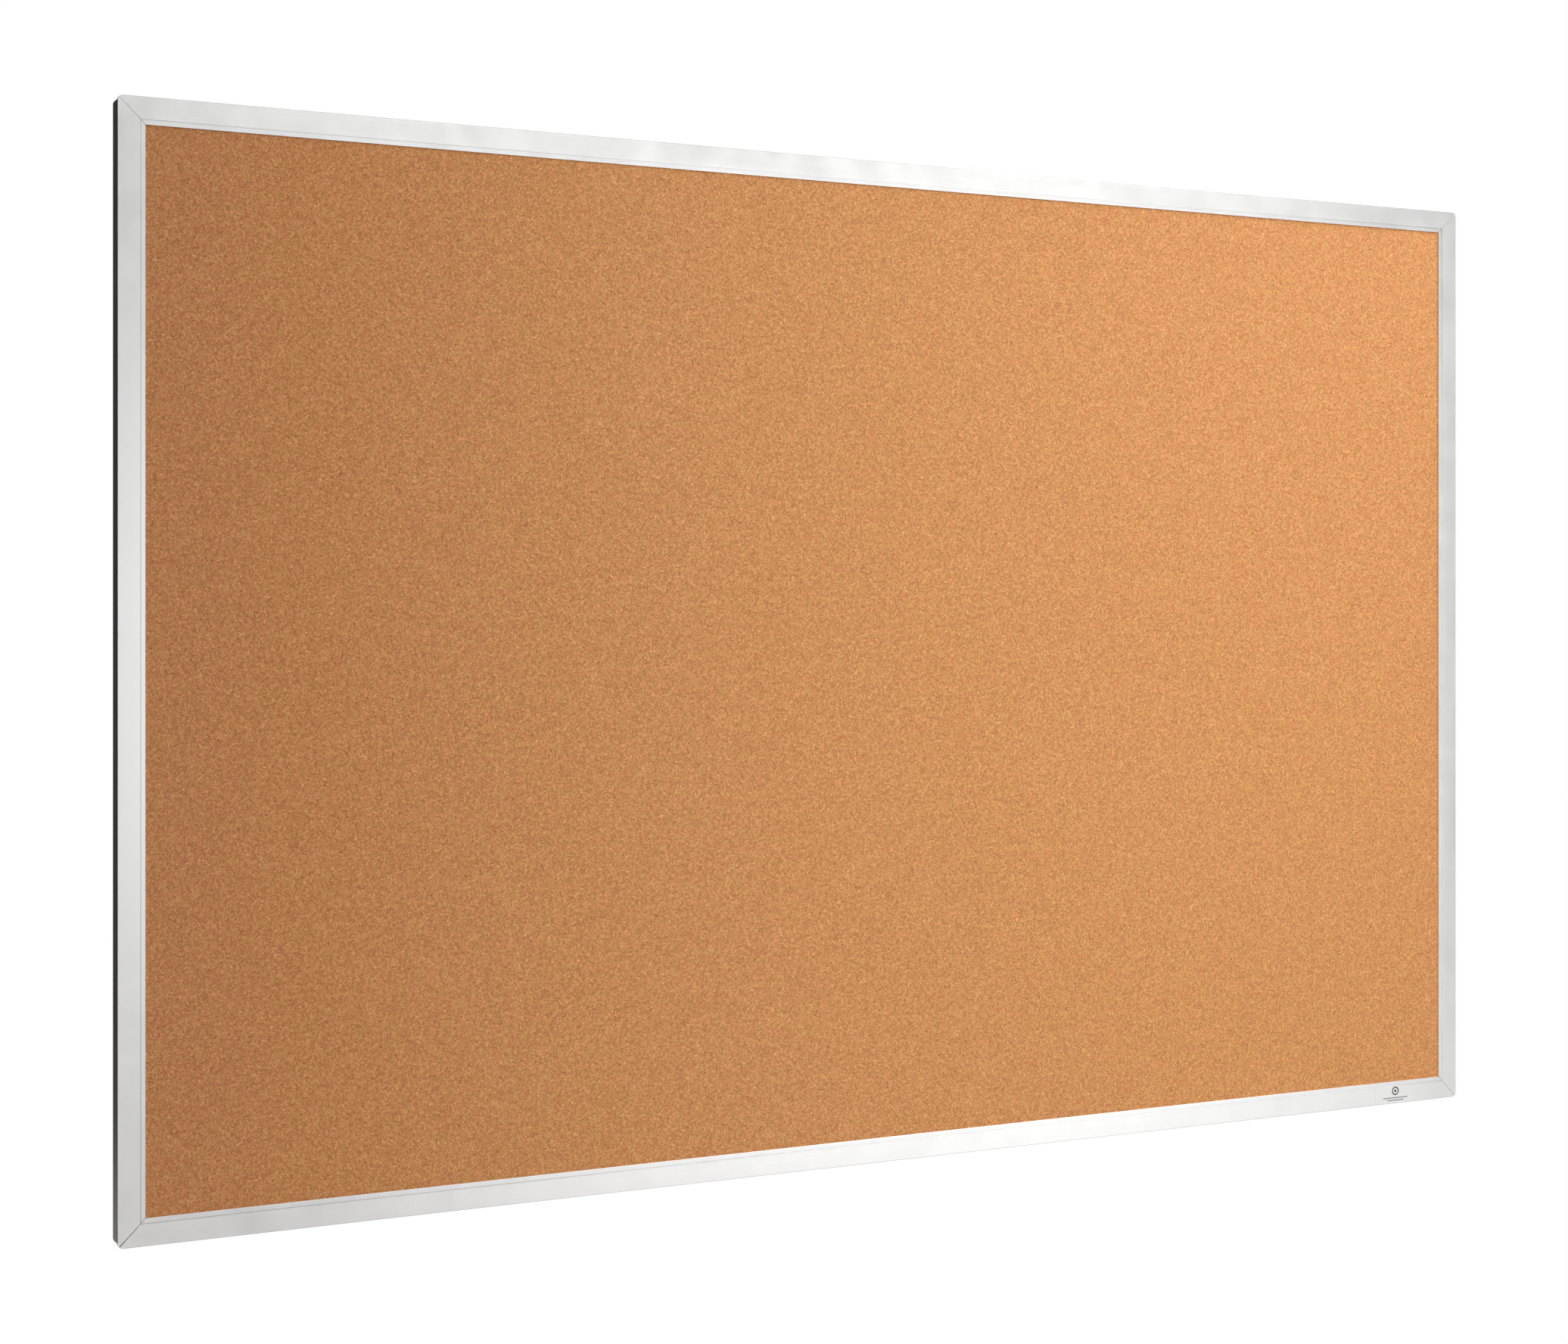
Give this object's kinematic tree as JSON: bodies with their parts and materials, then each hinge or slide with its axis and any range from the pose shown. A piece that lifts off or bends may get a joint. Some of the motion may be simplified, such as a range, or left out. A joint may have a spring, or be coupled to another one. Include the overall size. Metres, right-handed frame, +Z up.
{
  "type": "cork bulletin board",
  "caption": "Large landscape cork pin board in a thin mitred aluminium frame with rounded corners, hung flat on a wall by sliding hangers behind it.",
  "frame": {"origin": "centre of the rectangle of the four wall screw holes, in the wall plane behind the board", "axes": "+X along the board's width, to the right as seen from the front; the cork faces -Y and the wall is at +Y; +Z up"},
  "size_m": [1.8288, 0.0306, 1.2192],
  "materials": {
    "frame_aluminium": "satin",
    "cork": "matte",
    "fibreboard": "matte",
    "kraft_paper": "matte",
    "zinc_steel": "satin",
    "hanger_steel": "satin",
    "black_screw": "satin",
    "bumper_rubber": "matte",
    "label_film": "satin"
  },
  "bodies": {
    "board": {"backing_sheet": "kraft_paper", "bottom_rail_left": "frame_aluminium", "bottom_rail_right": "frame_aluminium", "bottom_splice_bar": "zinc_steel", "bottom_splice_screws": "black_screw", "bumper_bottom_left": "bumper_rubber", "bumper_bottom_right": "bumper_rubber", "bumper_top_left": "bumper_rubber", "bumper_top_right": "bumper_rubber", "core_board": "fibreboard", "cork_sheet": "cork", "corner_key_bottom_left": "zinc_steel", "corner_key_bottom_right": "zinc_steel", "corner_key_top_left": "zinc_steel", "corner_key_top_right": "zinc_steel", "corner_screws_bottom_left": "black_screw", "corner_screws_bottom_right": "black_screw", "corner_screws_top_left": "black_screw", "corner_screws_top_right": "black_screw", "front_label": "label_film", "left_stile": "frame_aluminium", "right_stile": "frame_aluminium", "top_rail_left": "frame_aluminium", "top_rail_right": "frame_aluminium", "top_splice_bar": "zinc_steel", "top_splice_screws": "black_screw"},
    "bottom_hanger_left": {"bottom_hanger_left": "hanger_steel"},
    "bottom_hanger_right": {"bottom_hanger_right": "hanger_steel"},
    "top_hanger_left": {"top_hanger_left": "hanger_steel"},
    "top_hanger_right": {"top_hanger_right": "hanger_steel"}
  },
  "joints": [
    {"name": "bottom_hanger_left_slide", "type": "slide", "parent": "board", "child": "bottom_hanger_left", "axis": [1, 0, 0], "range_m": [-0.2, 0.5]},
    {"name": "bottom_hanger_right_slide", "type": "slide", "parent": "board", "child": "bottom_hanger_right", "axis": [1, 0, 0], "range_m": [-0.5, 0.2]},
    {"name": "top_hanger_left_slide", "type": "slide", "parent": "board", "child": "top_hanger_left", "axis": [1, 0, 0], "range_m": [-0.2, 0.5]},
    {"name": "top_hanger_right_slide", "type": "slide", "parent": "board", "child": "top_hanger_right", "axis": [1, 0, 0], "range_m": [-0.5, 0.2]}
  ]
}
